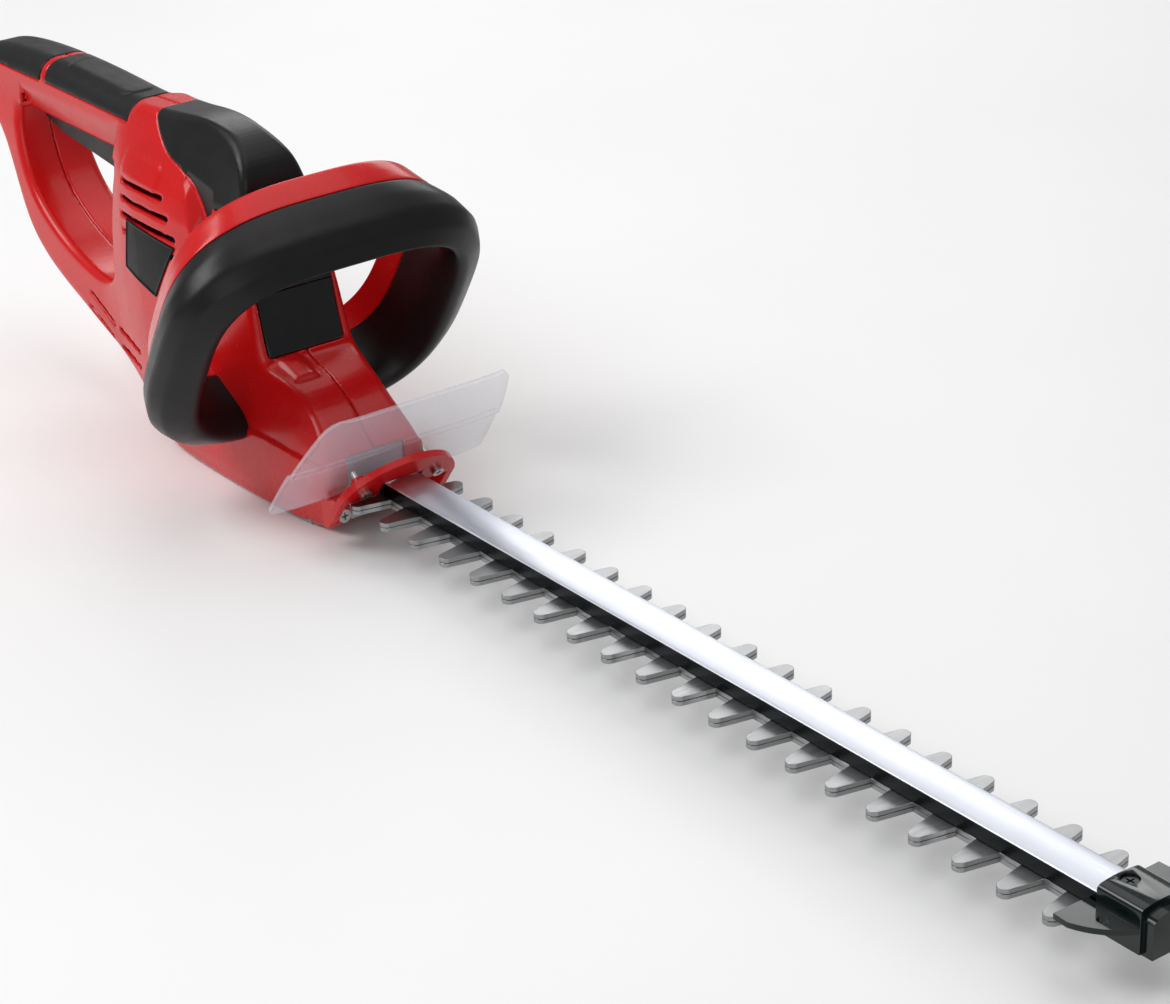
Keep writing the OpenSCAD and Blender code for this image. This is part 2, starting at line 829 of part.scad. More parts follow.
module blade_bar() {
  color([0.55, 0.56, 0.58])
  difference() {
    translate([44, -8.4, 29.65]) cube([bar_end_x + 14 - 44, 16.8, 3.4]);
    for (x = bolt_x) translate([x, 0, 20]) cylinder(r = 2.6, h = 20);
    for (x = [54, 74]) translate([x, 0, 20]) cylinder(r = 2.6, h = 20);
    translate([bar_end_x + 6, 0, 20]) cylinder(r = 2.1, h = 20);
  }
}

module blade_cover() {
  color([0.82, 0.83, 0.86])
  translate([99, 0, 0]) rotate([90, 0, 90]) linear_extrude(bar_end_x - 99 - 0.4) polygon(concat(
      [[10.4, 29.7], [10.4, 36.6]],
      bow([10.4, 36.6], [10.3, 37.4], [9.4, 37.6], 3),
      bow([9.4, 37.6], [0, 39], [-9.4, 37.6], 6),
      bow([-9.4, 37.6], [-10.3, 37.4], [-10.4, 36.6], 3),
      [[-10.4, 36.6], [-10.4, 29.7], [-8.8, 29.7], [-8.8, 36.2], [8.8, 36.2], [8.8, 29.7]]));
}

module blade_bolts() {
  color([0.5, 0.51, 0.53])
  for (x = bolt_x) translate([x, 0, 33.15]) screw(2.5, 14.4, 4.3, 2.6);
}

module blade_bushes() {
  color([0.72, 0.73, 0.75])
  for (x = bolt_x) translate([x, 0, 0]) ring(2.6, 4.5, 24.4, 29.55);
}

module blade_washers() {
  color([0.6, 0.61, 0.63])
  for (x = bolt_x) translate([x, 0, 0]) ring(2.6, 7.5, 22.9, 24.3);
}

module lock_nuts() {
  color([0.66, 0.67, 0.69])
  for (x = bolt_x) translate([x, 0, 18.6]) difference() {
    cylinder(r = 4.6, h = 4.2, $fn = 6);
    translate([0, 0, -1]) cylinder(r = 2.55, h = 7);
  }
}

module bar_bolts() {
  color([0.5, 0.51, 0.53])
  for (x = [54, 74]) translate([x, 0, 15.8]) rotate([180, 0, 0]) screw(2.5, 17.4, 4.5, 3);
}

// ---- tip ----

module tip_guard() {
  color([0.05, 0.07, 0.07])
  difference() {
    union() {
      translate([bar_end_x, 0, 0]) rotate([90, 0, 90]) linear_extrude(24) polygon(concat(
        [[12.4, 21], [12.4, 39.4]],
        bow([12.4, 39.4], [12.2, 41.4], [10.2, 41.8], 3),
        bow([10.2, 41.8], [0, 43.4], [-10.2, 41.8], 6),
        bow([-10.2, 41.8], [-12.2, 41.4], [-12.4, 39.4], 3),
        [[-12.4, 39.4], [-12.4, 21]]));
      // low nose
      translate([bar_end_x + 20, 0, 0]) rotate([90, 0, 90]) linear_extrude(9) polygon(concat(
        [[10.4, 20], [10.4, 36]],
        bow([10.4, 36], [9, 39], [0, 39.6], 5),
        bow([0, 39.6], [-9, 39], [-10.4, 36], 5),
        [[-10.4, 36], [-10.4, 20]]));
      // side fins above the last teeth
      translate([0, 0, 30.1]) linear_extrude(2.7) polygon(concat(
        [[bar_end_x - 6, -9.8], [bar_end_x - 6.3, -29.6]],
        bow([bar_end_x + 1.7, -30], [bar_end_x + 16, -25.5], [bar_end_x + 24, -11], 8),
        [[bar_end_x + 24, -11]],
        bow([bar_end_x + 24, 11], [bar_end_x + 16, 25.5], [bar_end_x + 1.7, 30], 8),
        [[bar_end_x + 1.7, 30], [bar_end_x - 6.3, 29.6], [bar_end_x - 6, 9.8]]));
    }
    // room for the blade ends and the bar
    translate([bar_end_x - 30, -11, 24.2]) cube([30 + half_stroke + 2, 22, 5.4]);
    translate([bar_end_x - 30, -8.7, 24.2]) cube([30 + 14.4, 17.4, 9.2]);
    translate([bar_end_x - 30, -11, 23.6]) cube([29.9, 22, 30]);
    translate([bar_end_x - 1, -14, 23.7]) cube([half_stroke - 1.7, 28, 6.2]);
    // screw
    translate([bar_end_x + 6, 0, 15]) cylinder(r = 1.7, h = 20);
    translate([bar_end_x + 6, 0, 32]) cylinder(r = 2.2, h = 20);
    translate([bar_end_x + 6, 0, 39]) cylinder(r = 4.2, h = 20);
    // hanging hole
    translate([bar_end_x + 9.5, -18.3, 15]) cylinder(r = 2.5, h = 20);
  }
}

module tip_screw() {
  color([0.3, 0.31, 0.33])
  translate([bar_end_x + 6, 0, 39.15]) screw(1.6, 9.1, 3.9, 2.4);
}

// ---- electrical parts ----

module main_switch() {
  color([0.1, 0.1, 0.11])
  union() {
    translate([-106, -6, 148]) cube([22, 12, 16]);
    translate([-127.4, -2, 158]) cube([22, 4, 3]);
  }
}

module front_switch() {
  color([0.1, 0.1, 0.11])
  translate([-78, -5, 60]) cube([18, 10, 14]);
}

module capacitor() {
  color([0.2, 0.3, 0.5])
  translate([-98, 0, 104]) union() {
    cylinder(r = 8, h = 28);
    for (s = [-1, 1]) translate([0, s * 3, 27.5]) cylinder(r = 0.6, h = 8);
  }
}

module cable_gland() {
  color([0.09, 0.09, 0.1])
  translate([-305, 0, 158]) rotate([0, 90, 0]) difference() {
    union() {
      cylinder(r = 7, h = 24);
      cylinder(r = 8.6, h = 2);
    }
    translate([0, 0, -1]) cylinder(r = 4, h = 30);
  }
}

housing_left();
housing_right();
rear_handle_left();
rear_handle_right();
rear_strut_left();
rear_strut_right();
rear_grip_cap();
rear_grip_pad();
top_cover();
front_panel();
label_plate();
handle_ring();
front_grip();
front_switch_bar();
switch_springs();
rear_trigger();
trigger_pin();
trigger_spring();
hand_guard();
guard_bracket();
guard_screws();
bracket_screws();
housing_screws();
handle_screws();
gear_case();
base_plate();
plate_screws();
shaft_bushes();
motor_can();
motor_magnets();
motor_end_plate();
motor_end_frame();
upper_bearing();
lower_bearing();
brushes();
brush_clips();
armature_core();
armature_windings();
commutator();
motor_shaft();
fan();
pinion();
drive_gear();
eccentric_shaft();
lower_blade();
upper_blade();
blade_bar();
blade_cover();
blade_bolts();
blade_bushes();
blade_washers();
lock_nuts();
bar_bolts();
tip_guard();
tip_screw();
main_switch();
front_switch();
capacitor();
cable_gland();
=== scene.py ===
import json
import math
import bmesh
import bpy
import numpy as np
from mathutils import Matrix, Vector


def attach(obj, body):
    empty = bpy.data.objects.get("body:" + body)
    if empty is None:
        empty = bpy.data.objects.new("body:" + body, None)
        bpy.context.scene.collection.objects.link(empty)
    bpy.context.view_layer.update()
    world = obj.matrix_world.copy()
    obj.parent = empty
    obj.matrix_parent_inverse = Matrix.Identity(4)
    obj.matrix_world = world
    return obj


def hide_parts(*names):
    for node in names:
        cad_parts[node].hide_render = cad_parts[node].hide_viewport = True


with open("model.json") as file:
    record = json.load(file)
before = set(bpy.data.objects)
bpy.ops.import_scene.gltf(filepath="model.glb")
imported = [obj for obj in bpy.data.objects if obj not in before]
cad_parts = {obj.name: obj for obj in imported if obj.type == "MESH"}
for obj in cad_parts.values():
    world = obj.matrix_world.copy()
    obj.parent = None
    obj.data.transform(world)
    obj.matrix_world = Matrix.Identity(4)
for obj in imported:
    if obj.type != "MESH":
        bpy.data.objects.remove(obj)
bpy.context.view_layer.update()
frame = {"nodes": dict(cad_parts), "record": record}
nodes = frame["nodes"]
print("frame loaded:", len(nodes), "nodes")

# All lengths are in millimetres until putMesh, which makes a mesh object from points, quads and triangles.
def putMesh(name, points, quads, tris=(), look=None, body="machine", stands=(), slot=None, smooth=True):
    quads = np.asarray(quads, np.int32).reshape(-1, 4)
    tris = np.asarray(tris, np.int32).reshape(-1, 3)
    corners = np.concatenate([quads.ravel(), tris.ravel()])
    starts = np.concatenate([np.arange(len(quads)) * 4, len(quads) * 4 + np.arange(len(tris)) * 3])
    mesh = bpy.data.meshes.new(name)
    mesh.vertices.add(len(points))
    mesh.vertices.foreach_set("co", (np.asarray(points, float) / 1000).astype(np.float32).ravel())
    mesh.loops.add(len(corners))
    mesh.loops.foreach_set("vertex_index", corners.astype(np.int32))
    mesh.polygons.add(len(starts))
    mesh.polygons.foreach_set("loop_start", starts.astype(np.int32))
    mesh.polygons.foreach_set("use_smooth", np.full(len(starts), smooth))
    mesh.update(calc_edges=True)
    mesh.validate()
    piece = bpy.data.objects.new(name, mesh)
    bpy.context.scene.collection.objects.link(piece)
    if look is not None:
        mesh.materials.append(look)
    if stands:
        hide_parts(*stands)
    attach(piece, body)
    return piece


# Joins parts, each (points, quads, tris), into one set of arrays.
def joined(parts):
    offsets = np.cumsum([0] + [len(p[0]) for p in parts])
    points = np.concatenate([p[0] for p in parts])
    quads = np.concatenate([np.asarray(p[1], int).reshape(-1, 4) + o for p, o in zip(parts, offsets)])
    tris = np.concatenate([np.asarray(p[2], int).reshape(-1, 3) + o for p, o in zip(parts, offsets)])
    return points, quads, tris


# Quads of a grid of rows x columns; the columns may wrap round, and so may the rows.
def gridQuads(rows, columns, wrapColumns=False, wrapRows=False):
    i = np.arange(rows if wrapRows else rows - 1)[:, None]
    j = np.arange(columns if wrapColumns else columns - 1)[None, :]
    i2, j2 = (i + 1) % rows, (j + 1) % columns
    return np.stack([i * columns + j, i * columns + j2, i2 * columns + j2, i2 * columns + j], -1).reshape(-1, 4)


# A closed tube: a ring of points carried along a path, with a fan over each end.
def tube(grid, flip=False):
    rows, columns = grid.shape[:2]
    points = np.concatenate([grid.reshape(-1, 3), grid[0].mean(0)[None], grid[-1].mean(0)[None]])
    quads = gridQuads(rows, columns, True)
    j = np.arange(columns)
    k = (j + 1) % columns
    first = np.stack([k, j, np.full(columns, rows * columns)], -1)
    last = np.stack([(rows - 1) * columns + j, (rows - 1) * columns + k, np.full(columns, rows * columns + 1)], -1)
    tris = np.concatenate([first, last])
    if flip:
        quads, tris = quads[:, ::-1], tris[:, ::-1]
    return points, quads, tris


# A sheet with thickness: the grid moved half a thickness each way along its normals, with a rim.
def thickSheet(grid, thick):
    along = np.gradient(grid, axis=0)
    across = np.gradient(grid, axis=1)
    normal = np.cross(across, along)
    normal /= np.linalg.norm(normal, axis=-1, keepdims=True)
    rows, columns = grid.shape[:2]
    top, low = grid + normal * thick / 2, grid - normal * thick / 2
    points = np.concatenate([top.reshape(-1, 3), low.reshape(-1, 3)])
    quads = gridQuads(rows, columns)
    size = rows * columns
    index = np.arange(size).reshape(rows, columns)
    rim = np.concatenate([index[0, :-1], index[:-1, -1], index[-1, :0:-1], index[:0:-1, 0]])
    step = np.roll(rim, -1)
    side = np.stack([rim, rim + size, step + size, step], -1)
    return points, np.concatenate([quads, quads[:, ::-1] + size, side[:, ::-1]]), np.zeros((0, 3), int)


# Weights of the four neighbours in a uniform cubic B-spline at the fraction t.
def splineWeights(t):
    return [(1 - t) ** 3 / 6, (3 * t ** 3 - 6 * t ** 2 + 4) / 6,
            (-3 * t ** 3 + 3 * t ** 2 + 3 * t + 1) / 6, t ** 3 / 6]


# Smooth curve through listed corners: a uniform B-spline sampled evenly, count points for each corner.
def smoothLoop(corners, count=6, closed=True):
    p = np.asarray(corners, float)
    t = (np.arange(count) / count)[:, None]
    w = splineWeights(t)
    if closed:
        q = [np.roll(p, 1, 0), p, np.roll(p, -1, 0), np.roll(p, -2, 0)]
    else:
        e = np.concatenate([[2 * p[0] - p[1]], p, [2 * p[-1] - p[-2]]])
        q = [e[:-3], e[1:-2], e[2:-1], e[3:]]
    pieces = sum(w[k][None] * q[k][:, None, :] for k in range(4))
    points = pieces.reshape(-1, p.shape[1])
    return points if closed else np.concatenate([points, p[-1:]])


# Signed distance to a closed outline in a plane, negative inside: the nearest edge, with the sign from crossings.
def outlineDistance(px, pz, outline):
    near = np.full(np.broadcast(px, pz).shape, 1e9)
    inside = np.zeros(near.shape, bool)
    for a, b in zip(outline, np.roll(outline, -1, 0)):
        ex, ez = b - a
        wx, wz = px - a[0], pz - a[1]
        t = np.clip((wx * ex + wz * ez) / max(ex * ex + ez * ez, 1e-12), 0, 1)
        near = np.minimum(near, (wx - t * ex) ** 2 + (wz - t * ez) ** 2)
        if ez != 0:
            inside ^= ((a[1] > pz) != (b[1] > pz)) & (px < a[0] + (pz - a[1]) / ez * ex)
    return np.where(inside, -1.0, 1.0) * np.sqrt(near)


def ease(value, a, b):  # 0 below a, 1 above b, smooth between
    t = np.clip((value - a) / (b - a), 0, 1)
    return t * t * (3 - 2 * t)


def roundMax(a, b, r):  # both conditions, with an outer edge of radius r
    return np.minimum(np.maximum(a, b), -r) + np.hypot(np.maximum(a + r, 0), np.maximum(b + r, 0))


# A table on a plane, read between its lattice points.
class Plate:
    def __init__(self, x0, z0, step, values):
        self.x0, self.z0, self.step, self.values = x0, z0, step, values

    def __call__(self, x, z):
        rows, columns = self.values.shape
        u = np.clip((x - self.x0) / self.step, 0, rows - 1.001)
        v = np.clip((z - self.z0) / self.step, 0, columns - 1.001)
        i, j = u.astype(int), v.astype(int)
        u, v = u - i, v - j
        g = self.values
        return (g[i, j] * (1 - u) * (1 - v) + g[i + 1, j] * u * (1 - v)
                + g[i, j + 1] * (1 - u) * v + g[i + 1, j + 1] * u * v)


# Skin of a solid given by a field that is negative inside: one point in each cell that the skin
# passes, at the mean of its edge crossings, then moved along the slope of the field onto the skin.
def surfaceOf(field, low, high, step):
    low = np.asarray(low, float)
    counts = np.ceil((np.asarray(high, float) - low) / step).astype(int) + 1
    axes = [low[k] + step * np.arange(counts[k]) for k in range(3)]
    value = np.array(np.broadcast_to(field(axes[0][:, None, None], axes[1][None, :, None], axes[2][None, None, :]),
                                     counts))
    inside = value < 0
    n = counts - 1
    corners = [(a, b, c) for a in (0, 1) for b in (0, 1) for c in (0, 1)]
    filled = sum(inside[a:n[0] + a, b:n[1] + b, c:n[2] + c].astype(np.int8) for a, b, c in corners)
    cells = np.argwhere((filled > 0) & (filled < 8))
    number = np.full(n, -1)
    number[tuple(cells.T)] = np.arange(len(cells))
    total, hits = np.zeros((len(cells), 3)), np.zeros(len(cells))
    for a in corners:
        for axis in range(3):
            if a[axis]:
                continue
            b = list(a)
            b[axis] = 1
            va = value[tuple((cells + a).T)]
            vb = value[tuple((cells + b).T)]
            cut = (va < 0) != (vb < 0)
            t = np.where(cut, va / np.where(cut, va - vb, 1), 0)
            at = cells + np.array(a, float)
            at[:, axis] += t
            total += at * cut[:, None]
            hits += cut
    points = low + step * total / hits[:, None]
    quads = []
    for axis in range(3):
        u, v = (axis + 1) % 3, (axis + 2) % 3
        here = [slice(None)] * 3
        there = [slice(None)] * 3
        here[axis], there[axis] = slice(0, -1), slice(1, None)
        change = inside[tuple(here)] != inside[tuple(there)]
        at = np.argwhere(change)
        at = at[(at[:, u] > 0) & (at[:, v] > 0) & (at[:, u] < n[u]) & (at[:, v] < n[v])]
        du, dv = np.eye(3, dtype=int)[u], np.eye(3, dtype=int)[v]
        ring = [number[tuple((at - d).T)] for d in (du + dv, dv, 0 * du, du)]
        quad = np.stack(ring, -1)
        outwards = inside[tuple(at.T)]
        quads.append(np.where(outwards[:, None], quad, quad[:, ::-1]))
    e = 0.12
    for pull in range(3):
        x, y, z = points.T
        f = field(x, y, z)
        g = np.stack([field(x + e, y, z) - field(x - e, y, z), field(x, y + e, z) - field(x, y - e, z),
                      field(x, y, z + e) - field(x, y, z - e)], -1) / (2 * e)
        move = (f / np.maximum((g * g).sum(-1), 0.2))[:, None] * g
        size = np.linalg.norm(move, axis=-1, keepdims=True)
        points = points - move * np.minimum(1, 0.45 * step / np.maximum(size, 1e-9))
    return points, np.concatenate(quads), np.zeros((0, 3), int)


def newLook(name, rough=0.5, metal=0.0):
    look = bpy.data.materials.new(name)
    look.use_nodes = True
    tree = look.node_tree
    shader = tree.nodes["Principled BSDF"]
    shader.inputs["Metallic"].default_value = metal
    shader.inputs["Roughness"].default_value = rough
    place = tree.nodes.new("ShaderNodeTexCoord")
    return look, tree, shader, place


def addNoise(tree, place, scale, detail=4.0, rough=0.55, stretch=(1, 1, 1)):
    mapping = tree.nodes.new("ShaderNodeMapping")
    mapping.inputs["Scale"].default_value = stretch
    noise = tree.nodes.new("ShaderNodeTexNoise")
    noise.inputs["Scale"].default_value = scale
    noise.inputs["Detail"].default_value = detail
    noise.inputs["Roughness"].default_value = rough
    tree.links.new(place.outputs["Object"], mapping.inputs["Vector"])
    tree.links.new(mapping.outputs["Vector"], noise.inputs["Vector"])
    return noise.outputs["Fac"]


def addRamp(tree, source, stops):
    ramp = tree.nodes.new("ShaderNodeValToRGB")
    first, last = ramp.color_ramp.elements
    first.position, first.color = stops[0][0], (*stops[0][1], 1)
    last.position, last.color = stops[-1][0], (*stops[-1][1], 1)
    for at, tint in stops[1:-1]:
        ramp.color_ramp.elements.new(at).color = (*tint, 1)
    tree.links.new(source, ramp.inputs["Fac"])
    return ramp.outputs["Color"]


def addRange(tree, source, low, high, a=0.3, b=0.7):
    spread = tree.nodes.new("ShaderNodeMapRange")
    spread.inputs["From Min"].default_value = a
    spread.inputs["From Max"].default_value = b
    spread.inputs["To Min"].default_value = low
    spread.inputs["To Max"].default_value = high
    tree.links.new(source, spread.inputs["Value"])
    return spread.outputs["Result"]


def addBump(tree, shader, heights, distance, strength=0.5):
    height = heights[0]
    for other in heights[1:]:
        both = tree.nodes.new("ShaderNodeMath")
        both.operation = "ADD"
        tree.links.new(height, both.inputs[0])
        tree.links.new(other, both.inputs[1])
        height = both.outputs["Value"]
    bump = tree.nodes.new("ShaderNodeBump")
    bump.inputs["Strength"].default_value = strength
    bump.inputs["Distance"].default_value = distance
    tree.links.new(height, bump.inputs["Height"])
    tree.links.new(bump.outputs["Normal"], shader.inputs["Normal"])


# Moulded plastic: slow colour drift, patches of wear in the gloss, a fine spark-eroded grain.
def mouldedLook(name, colour, drift, rough, grain, depth, coat=0.0, specular=0.28):
    look, tree, shader, place = newLook(name, rough[0])
    slow = addNoise(tree, place, 26, 3)
    dark = tuple(c * (1 - drift) for c in colour)
    light = tuple(min(1, c * (1 + drift)) for c in colour)
    tree.links.new(addRamp(tree, slow, [(0.3, dark), (0.52, colour), (0.72, light)]), shader.inputs["Base Color"])
    wear = addNoise(tree, place, 95, 6, 0.65)
    tree.links.new(addRange(tree, wear, rough[0], rough[1]), shader.inputs["Roughness"])
    fine = addNoise(tree, place, grain, 3)
    broad = addRange(tree, addNoise(tree, place, 70, 2), 0, 0.35)
    addBump(tree, shader, [fine, broad], depth, 0.45)
    shader.inputs["Coat Weight"].default_value = coat
    shader.inputs["Specular IOR Level"].default_value = specular
    shader.inputs["Coat Roughness"].default_value = 0.08
    return look


# Soft-touch rubbery plastic: pebbled cells over a fine grain, with dull and polished areas.
def gripLook(name, colour, rough, cell, depth):
    look, tree, shader, place = newLook(name, rough[0])
    slow = addNoise(tree, place, 40, 4)
    dull, bright = tuple(c * 0.82 for c in colour), tuple(c * 1.2 for c in colour)
    tree.links.new(addRamp(tree, slow, [(0.3, dull), (0.7, bright)]), shader.inputs["Base Color"])
    tree.links.new(addRange(tree, addNoise(tree, place, 120, 5), rough[0], rough[1]), shader.inputs["Roughness"])
    pebble = tree.nodes.new("ShaderNodeTexVoronoi")
    pebble.feature = "SMOOTH_F1"
    pebble.inputs["Scale"].default_value = cell
    tree.links.new(place.outputs["Object"], pebble.inputs["Vector"])
    addBump(tree, shader, [pebble.outputs["Distance"], addNoise(tree, place, cell * 2.2, 3)], depth, 0.5)
    shader.inputs["Specular IOR Level"].default_value = 0.26
    return look


# Metal with drawn or ground lines: noise stretched along one direction sets tone, gloss and relief.
def metalLook(name, colour, rough, stretch=(1, 1, 1), lines=900, depth=0.00004, stain=0.12):
    look, tree, shader, place = newLook(name, rough[0], 1.0)
    streak = addNoise(tree, place, lines, 4, 0.6, stretch)
    cloud = addNoise(tree, place, 34, 4)
    mix = tree.nodes.new("ShaderNodeMath")
    mix.operation = "MULTIPLY_ADD"
    mix.inputs[1].default_value = 0.5
    tree.links.new(streak, mix.inputs[0])
    tree.links.new(addRange(tree, cloud, 0.1, 0.4), mix.inputs[2])
    tree.links.new(addRamp(tree, mix.outputs["Value"], [(0.25, tuple(c * (1 - stain) for c in colour)), (0.5, colour),
                                                       (0.75, tuple(min(1, c * (1 + stain * 0.6)) for c in colour))]),
                   shader.inputs["Base Color"])
    tree.links.new(addRange(tree, streak, rough[0], rough[1]), shader.inputs["Roughness"])
    addBump(tree, shader, [streak], depth, 0.4)
    return look


# Clear moulded sheet: a faint milky tint that drifts slowly, flow marks, hairline scratches in the gloss.
def clearLook(name, colour, density):
    look, tree, shader, place = newLook(name, 0.12)
    bright = tuple(min(1, c * 1.05) for c in colour)
    tint = addRamp(tree, addNoise(tree, place, 18, 2), [(0.3, colour), (0.7, bright)])
    tree.links.new(tint, shader.inputs["Base Color"])
    scratches = addNoise(tree, place, 260, 5, 0.7, (0.2, 1, 1))
    tree.links.new(addRange(tree, scratches, 0.08, 0.2), shader.inputs["Roughness"])
    cloud = addNoise(tree, place, 9, 2)
    tree.links.new(addRange(tree, cloud, density * 0.93, density * 1.07), shader.inputs["Alpha"])
    addBump(tree, shader, [addNoise(tree, place, 30, 2)], 0.00015, 0.25)
    return look


red = (0.56, 0.006, 0.007)
looks = {
    "red_plastic": mouldedLook("glossyRedShell", red, 0.06, (0.2, 0.3), 1500, 0.00002, 0.12, 0.3),
    "soft_black": gripLook("softBlackGrip", (0.0068, 0.007, 0.0078), (0.38, 0.52), 1500, 0.0002),
    "black_plastic": mouldedLook("satinBlackPlastic", (0.006, 0.0062, 0.007), 0.2, (0.3, 0.42), 1300, 0.0001),
    "gloss_black": mouldedLook("polishedBlackPanel", (0.0035, 0.0042, 0.005), 0.12, (0.1, 0.18), 1400, 0.00003, 0.3),
    "clear_plastic": clearLook("clearGuardSheet", (0.72, 0.75, 0.83), 0.25),
    "cast_alloy": metalLook("castAlloy", (0.52, 0.53, 0.54), (0.42, 0.6), (1, 1, 1), 420, 0.00025, 0.1),
    "base_steel": metalLook("rolledBaseSteel", (0.47, 0.48, 0.5), (0.3, 0.45), (0.06, 1, 1), 700, 0.00004),
    "screw_steel": metalLook("zincPlatedSteel", (0.55, 0.56, 0.55), (0.22, 0.36), (1, 1, 0.2), 800, 0.00003, 0.15),
    "motor_steel": metalLook("drawnMotorCan", (0.5, 0.5, 0.52), (0.26, 0.4), (1, 1, 0.05), 800, 0.00003),
    "magnet": mouldedLook("ferriteMagnet", (0.045, 0.045, 0.05), 0.15, (0.55, 0.7), 900, 0.0002),
    "core_steel": metalLook("stackedCoreSheets", (0.33, 0.34, 0.36), (0.35, 0.5), (0.02, 0.02, 1), 1600,
                            0.00012, 0.2),
    "winding_copper": metalLook("enamelledCopper", (0.62, 0.25, 0.1), (0.22, 0.34), (0.05, 0.05, 1), 900,
                                0.0002, 0.2),
    "brass_metal": metalLook("turnedBrass", (0.66, 0.47, 0.2), (0.22, 0.36), (1, 1, 0.06), 800, 0.00003),
    "carbon": mouldedLook("carbonBrush", (0.03, 0.03, 0.032), 0.2, (0.5, 0.65), 1200, 0.00015),
    "gear_steel": metalLook("hobbedGearSteel", (0.45, 0.45, 0.46), (0.28, 0.42), (1, 1, 0.1), 900, 0.00004),
    "blade_steel": metalLook("groundBladeSteel", (0.30, 0.305, 0.31), (0.28, 0.42), (1, 0.05, 1), 900, 0.00005, 0.16),
    "cover_aluminium": metalLook("anodisedCover", (0.62, 0.64, 0.70), (0.34, 0.44), (0.04, 1, 1), 900, 0.00003, 0.06),
    "label_black": mouldedLook("printedLabelFilm", (0.0026, 0.0028, 0.003), 0.12, (0.3, 0.4), 1400, 0.00002,
                               0.0, 0.1),
    "tip_black": mouldedLook("polishedTipGuard", (0.0022, 0.0062, 0.0066), 0.12, (0.1, 0.18), 1400, 0.00003, 0.3),
    "dark_screw": metalLook("blackenedScrew", (0.05, 0.055, 0.055), (0.3, 0.42), (1, 1, 0.2), 800, 0.00003, 0.15),
    "capacitor_skin": mouldedLook("capacitorSkin", (0.05, 0.12, 0.3), 0.1, (0.25, 0.35), 800, 0.00008),
}
for part in frame["record"]["subparts"]:
    cad = nodes[part["node"]]
    cad.data.materials.clear()
    cad.data.materials.append(looks[part["material_slot"]])
print("looks made:", len(looks))

# what may be changed on the housing
housingSize = {"seamGap": 0.22, "wall": 2.6, "beltStep": 1.5, "cell": 1.3, "triggerSlotHalf": 7.7,
               "baseHalf": 26.2, "inletRadius": 7.5, "noseHalf": 17.8}

# side outline, clockwise from the tail: x and z
sideCorners = [(-302, 160), (-301, 168), (-293, 176), (-280, 181), (-262, 184), (-233, 186.5), (-189, 187.5),
               (-150, 186.5), (-128, 185.5), (-108, 187), (-88, 188), (-70, 190), (-51, 192.5), (-34, 192.5),
               (-18, 190.5), (-6, 185), (2, 176), (6, 162), (10, 140), (15, 118), (20, 96), (24, 82), (28, 79),
               (38, 77), (52, 72), (66, 63), (78, 51), (83.5, 44.5), (84.6, 42), (84.6, 34), (84.6, 20), (83.5, 12),
               (79, 6), (70, 2), (58, 0.4), (40, 0), (10, 0), (-30, 0), (-60, 0.4), (-76, 2), (-90, 8),
               (-102, 20), (-110, 28), (-124, 33), (-142, 38), (-160, 44), (-178, 51), (-198, 58), (-216, 66),
               (-231, 76), (-241, 88), (-248, 103), (-255, 120), (-264, 133), (-276, 142), (-290, 148), (-299, 153)]
# hand opening of the rear loop
loopCorners = [(-242, 153), (-241, 153.2), (-228, 152.8), (-200, 152.4), (-170, 152), (-140, 151.8), (-126, 151.6),
               (-120.5, 151), (-119.5, 148), (-121.5, 140), (-124.5, 130), (-128, 112), (-129, 98), (-131, 86),
               (-139, 78), (-152, 76.5), (-170, 79.5), (-190, 85), (-208, 93), (-223, 103), (-233, 116),
               (-239, 130), (-242, 143), (-242.5, 151.5)]
sideOutline = smoothLoop(sideCorners, 4)
loopOutline = smoothLoop(loopCorners, 4)

widthAtX = [-302, -240, -190, -150, -128, -110, -88, -50, -10, 20, 40, 60, 84]
widthAtZ = [0, 12, 28, 43, 60, 80, 100, 120, 140, 152, 160, 168, 175, 182, 190]
halfWidths = np.array([
    [20, 21, 21, 21, 21, 21, 21, 21, 20, 18.5, 18, 18, 18, 18, 18],
    [22, 22.5, 23, 23, 23, 23, 23, 23, 21.5, 19, 18, 18, 18, 18, 18],
    [23, 23.5, 24, 24, 24, 24, 24, 23.5, 22, 19, 18, 18, 18, 18, 18],
    [23, 24, 24.5, 24.5, 24.5, 24.5, 24.5, 24, 21.5, 19, 18, 18, 18, 18, 18],
    [24, 24.5, 25, 26, 27, 28, 28.5, 28, 26.5, 24, 21, 18.6, 18, 18, 18],
    [25, 26, 27, 28.5, 30, 31, 31.5, 31.5, 31, 30, 27, 22.5, 19, 17, 15],
    [27, 29, 31.5, 33, 33.7, 34.2, 34.4, 34.4, 34, 32.4, 29, 24.5, 20, 16.5, 12],
    [28, 32, 34.2, 34.8, 35, 35, 35, 35, 33, 29, 25, 21.5, 18.5, 16, 11],
    [28, 32, 34.2, 34.8, 34.8, 34.2, 33.2, 30.4, 26.5, 23.8, 21.8, 19.6, 17.5, 15, 10],
    [27, 31, 33.6, 34.4, 32.5, 30, 28, 25.5, 22, 20, 19, 18, 17, 15, 10],
    [26, 30, 33, 34, 30, 24, 20, 20, 20, 19, 18, 17, 16, 15, 10],
    [24, 29, 32, 33, 26.5, 18.5, 15, 15, 15, 15, 15, 15, 15, 15, 10],
    [18, 25, 28, 29, 20, 13, 12, 12, 12, 12, 12, 12, 12, 12, 10]], float)


